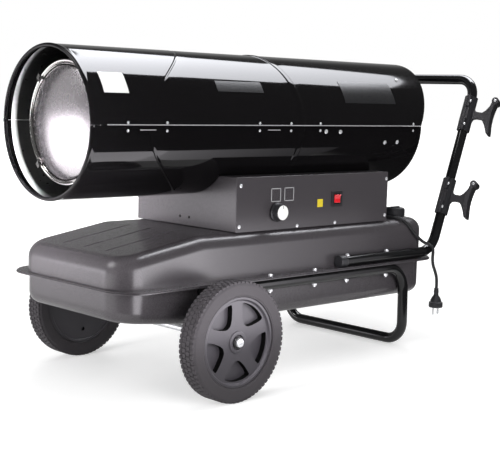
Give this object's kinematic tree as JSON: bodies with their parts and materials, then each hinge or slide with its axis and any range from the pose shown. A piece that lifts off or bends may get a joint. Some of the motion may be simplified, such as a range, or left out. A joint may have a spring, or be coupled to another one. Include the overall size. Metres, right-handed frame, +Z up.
{
  "type": "forced air heater",
  "caption": "Direct-fired diesel air heater: two-part barrel over a fuel tank on a tube trolley with wheels, push handle, control box and cord hooks.",
  "frame": {"origin": "on the ground under the middle of the heater's bounding box, measured without the mains cord", "axes": "+Z up, +X from the hot-air outlet to the push handle, -Y the side with the controls and cord hooks"},
  "size_m": [1.2084, 0.5948, 0.7228],
  "materials": {
    "gloss_black_paint": "high gloss powder coat",
    "satin_grey_paint": "satin powder coat",
    "frame_black_paint": "gloss powder coat on tube",
    "stainless": "bright rolled stainless sheet",
    "bare_steel": "bare drawn steel",
    "zinc_plate": "bright zinc plate",
    "cast_alloy": "as cast",
    "black_plastic": "fine moulded texture",
    "disc_plastic": "moulded, slightly dull",
    "tyre_rubber": "moulded tread rubber",
    "cord_rubber": "extruded rubber sheath",
    "red_lens": "clear red lens",
    "white_ceramic": "glazed ceramic",
    "brass_nozzle": "turned brass",
    "circuit_green": "lacquered board"
  },
  "bodies": {
    "chassis": {"upper_shell": "gloss_black_paint", "lower_shell": "gloss_black_paint", "combustion_chamber": "stainless", "outlet_ring": "stainless", "deflector_dish": "stainless", "chamber_back_plate": "stainless", "burner_head": "bare_steel", "fuel_nozzle": "brass_nozzle", "ignition_electrodes": "white_ceramic", "photocell": "black_plastic", "motor": "cast_alloy", "motor_bracket": "bare_steel", "air_pump": "cast_alloy", "air_filter_cover": "black_plastic", "rear_guard": "frame_black_paint", "control_box": "satin_grey_paint", "control_panel": "satin_grey_paint", "thermostat_body": "black_plastic", "switch_body": "black_plastic", "ignition_transformer": "black_plastic", "control_board": "circuit_green", "cable_gland": "black_plastic", "tank_upper_shell": "satin_grey_paint", "tank_lower_shell": "satin_grey_paint", "filler_neck": "bare_steel", "fuel_strainer": "bare_steel", "drain_plug": "bare_steel", "fuel_pickup_filter": "bare_steel", "leg_frame": "frame_black_paint", "handle": "frame_black_paint", "handle_end_cap_near": "black_plastic", "handle_end_cap_far": "black_plastic", "axle_bracket_near": "frame_black_paint", "axle_bracket_far": "frame_black_paint", "axle": "zinc_plate", "fuel_hose": "cord_rubber", "air_hose": "cord_rubber", "cord_lead_in": "cord_rubber", "cord_coil": "cord_rubber", "cord_lead_out": "cord_rubber", "plug": "black_plastic", "cord_hook_lower": "black_plastic", "hook_clamp_lower": "black_plastic", "cord_hook_upper": "black_plastic", "hook_clamp_upper": "black_plastic", "axle_cap_near": "zinc_plate", "axle_cap_far": "zinc_plate"},
    "wheel_near": {"tyre_near": "tyre_rubber", "wheel_disc_near": "disc_plastic"},
    "wheel_far": {"tyre_far": "tyre_rubber", "wheel_disc_far": "disc_plastic"},
    "fan_rotor": {"fan": "cast_alloy", "motor_shaft": "bare_steel"},
    "knob": {"thermostat_knob": "black_plastic"},
    "rocker": {"switch_rocker": "red_lens"},
    "cap": {"filler_cap": "black_plastic"}
  },
  "joints": [
    {"name": "wheel_near_spin", "type": "hinge", "parent": "chassis", "child": "wheel_near", "pos_m": [-0.33721, -0.2696, 0.125], "axis": [0, 1, 0], "continuous": true},
    {"name": "wheel_far_spin", "type": "hinge", "parent": "chassis", "child": "wheel_far", "pos_m": [-0.33721, 0.2696, 0.125], "axis": [0, 1, 0], "continuous": true},
    {"name": "fan_spin", "type": "hinge", "parent": "chassis", "child": "fan_rotor", "pos_m": [0.14446, 0, 0.54446], "axis": [0.9996, 0, -0.0274], "continuous": true},
    {"name": "thermostat_turn", "type": "hinge", "parent": "chassis", "child": "knob", "pos_m": [-0.11611, -0.18, 0.36303], "axis": [0, -1, 0], "range_deg": [0, 270]},
    {"name": "switch_tilt", "type": "hinge", "parent": "chassis", "child": "rocker", "pos_m": [0.08091, -0.169, 0.37914], "axis": [0.9996, 0, -0.0274], "range_deg": [-19, 0]},
    {"name": "filler_cap_lift", "type": "slide", "parent": "chassis", "child": "cap", "axis": [0.0274, 0, 0.9996], "range_m": [0, 0.06]}
  ]
}
